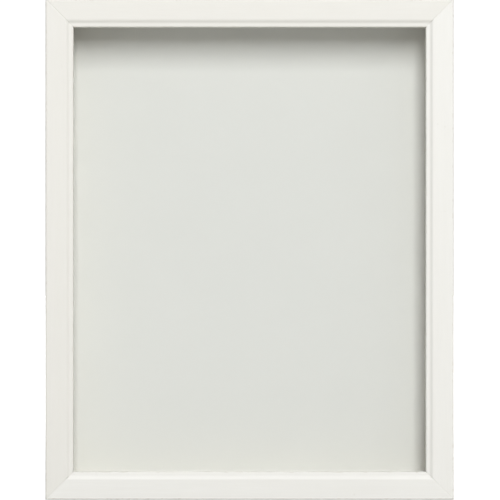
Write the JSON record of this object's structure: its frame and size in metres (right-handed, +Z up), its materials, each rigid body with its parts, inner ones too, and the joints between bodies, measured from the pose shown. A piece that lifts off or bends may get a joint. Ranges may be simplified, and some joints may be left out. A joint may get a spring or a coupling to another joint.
{
  "type": "shadow box",
  "caption": "Upright rectangular shadow box: white mitred wood moulding, clear pane, deep empty cavity, pale backing card and a removable back held by bendable tabs.",
  "frame": {"origin": "middle of the bottom rail's lower face, half way through the frame's depth, where it stands on a shelf", "axes": "+Z up along the height, +X along the width to the viewer's right, +Y from the glazed front to the back"},
  "size_m": [0.2256, 0.0415, 0.2765],
  "materials": {
    "white_paint": "satin off-white paint over fine-grained wood",
    "nail_steel": "plain cold-rolled steel",
    "clear_glass": "clear float glass with a faint green tint",
    "white_liner": "matt off-white paint",
    "card_face": "pale grey-green uncoated card",
    "brown_board": "bare brown fibre board",
    "tab_steel": "dull galvanised strip",
    "plated_steel": "bright zinc plate",
    "screw_steel": "bright zinc plate",
    "bumper_rubber": "soft dark rubber"
  },
  "bodies": {
    "frame": {"rail_top": "white_paint", "rail_bottom": "white_paint", "rail_left": "white_paint", "rail_right": "white_paint", "corner_v_nails": "nail_steel", "glass_pane": "clear_glass", "spacer_top": "white_liner", "spacer_bottom": "white_liner", "spacer_left": "white_liner", "spacer_right": "white_liner", "hanger_strap_left": "plated_steel", "hanger_strap_right": "plated_steel", "hanger_screw_left": "screw_steel", "hanger_screw_right": "screw_steel", "wall_bumper_left": "bumper_rubber", "wall_bumper_right": "bumper_rubber"},
    "back": {"backing_card": "card_face", "back_board": "brown_board"},
    "left_ring": {"hanger_ring_left": "plated_steel"},
    "right_ring": {"hanger_ring_right": "plated_steel"},
    "left_low_tab": {"tab_left_low": "tab_steel"},
    "left_mid_tab": {"tab_left_mid": "tab_steel"},
    "left_high_tab": {"tab_left_high": "tab_steel"},
    "right_low_tab": {"tab_right_low": "tab_steel"},
    "right_mid_tab": {"tab_right_mid": "tab_steel"},
    "right_high_tab": {"tab_right_high": "tab_steel"},
    "top_left_tab": {"tab_top_left": "tab_steel"},
    "top_right_tab": {"tab_top_right": "tab_steel"},
    "bottom_left_tab": {"tab_bottom_left": "tab_steel"},
    "bottom_right_tab": {"tab_bottom_right": "tab_steel"}
  },
  "joints": [
    {"name": "back_slide", "type": "slide", "parent": "frame", "child": "back", "axis": [0, 1, 0], "range_m": [0, 0.08]},
    {"name": "left_ring_swing", "type": "hinge", "parent": "frame", "child": "left_ring", "pos_m": [-0.1073, 0.02075, 0.2075], "axis": [1, 0, 0], "range_deg": [0, 180]},
    {"name": "right_ring_swing", "type": "hinge", "parent": "frame", "child": "right_ring", "pos_m": [0.1073, 0.02075, 0.2075], "axis": [1, 0, 0], "range_deg": [0, 180]},
    {"name": "left_low_tab_bend", "type": "hinge", "parent": "frame", "child": "left_low_tab", "pos_m": [-0.102, 0.0159, 0.0553], "axis": [0, 0, 1], "range_deg": [0, 92], "deforming": ["tab_left_low"]},
    {"name": "left_mid_tab_bend", "type": "hinge", "parent": "frame", "child": "left_mid_tab", "pos_m": [-0.102, 0.0159, 0.13825], "axis": [0, 0, 1], "range_deg": [0, 92], "deforming": ["tab_left_mid"]},
    {"name": "left_high_tab_bend", "type": "hinge", "parent": "frame", "child": "left_high_tab", "pos_m": [-0.102, 0.0159, 0.2212], "axis": [0, 0, 1], "range_deg": [0, 92], "deforming": ["tab_left_high"]},
    {"name": "right_low_tab_bend", "type": "hinge", "parent": "frame", "child": "right_low_tab", "pos_m": [0.102, 0.0159, 0.0553], "axis": [0, 0, -1], "range_deg": [0, 92], "deforming": ["tab_right_low"]},
    {"name": "right_mid_tab_bend", "type": "hinge", "parent": "frame", "child": "right_mid_tab", "pos_m": [0.102, 0.0159, 0.13825], "axis": [0, 0, -1], "range_deg": [0, 92], "deforming": ["tab_right_mid"]},
    {"name": "right_high_tab_bend", "type": "hinge", "parent": "frame", "child": "right_high_tab", "pos_m": [0.102, 0.0159, 0.2212], "axis": [0, 0, -1], "range_deg": [0, 92], "deforming": ["tab_right_high"]},
    {"name": "top_left_tab_bend", "type": "hinge", "parent": "frame", "child": "top_left_tab", "pos_m": [-0.06091, 0.0159, 0.2657], "axis": [1, 0, 0], "range_deg": [0, 92], "deforming": ["tab_top_left"]},
    {"name": "top_right_tab_bend", "type": "hinge", "parent": "frame", "child": "top_right_tab", "pos_m": [0.06091, 0.0159, 0.2657], "axis": [1, 0, 0], "range_deg": [0, 92], "deforming": ["tab_top_right"]},
    {"name": "bottom_left_tab_bend", "type": "hinge", "parent": "frame", "child": "bottom_left_tab", "pos_m": [-0.06091, 0.0159, 0.0108], "axis": [-1, 0, 0], "range_deg": [0, 92], "deforming": ["tab_bottom_left"]},
    {"name": "bottom_right_tab_bend", "type": "hinge", "parent": "frame", "child": "bottom_right_tab", "pos_m": [0.06091, 0.0159, 0.0108], "axis": [-1, 0, 0], "range_deg": [0, 92], "deforming": ["tab_bottom_right"]}
  ],
  "couplings": [
    {"joint": "left_low_tab_bend", "follows": "back_slide", "rad_per_m": 20.071},
    {"joint": "left_mid_tab_bend", "follows": "back_slide", "rad_per_m": 20.071},
    {"joint": "left_high_tab_bend", "follows": "back_slide", "rad_per_m": 20.071},
    {"joint": "right_low_tab_bend", "follows": "back_slide", "rad_per_m": 20.071},
    {"joint": "right_mid_tab_bend", "follows": "back_slide", "rad_per_m": 20.071},
    {"joint": "right_high_tab_bend", "follows": "back_slide", "rad_per_m": 20.071},
    {"joint": "top_left_tab_bend", "follows": "back_slide", "rad_per_m": 20.071},
    {"joint": "top_right_tab_bend", "follows": "back_slide", "rad_per_m": 20.071},
    {"joint": "bottom_left_tab_bend", "follows": "back_slide", "rad_per_m": 20.071},
    {"joint": "bottom_right_tab_bend", "follows": "back_slide", "rad_per_m": 20.071}
  ]
}
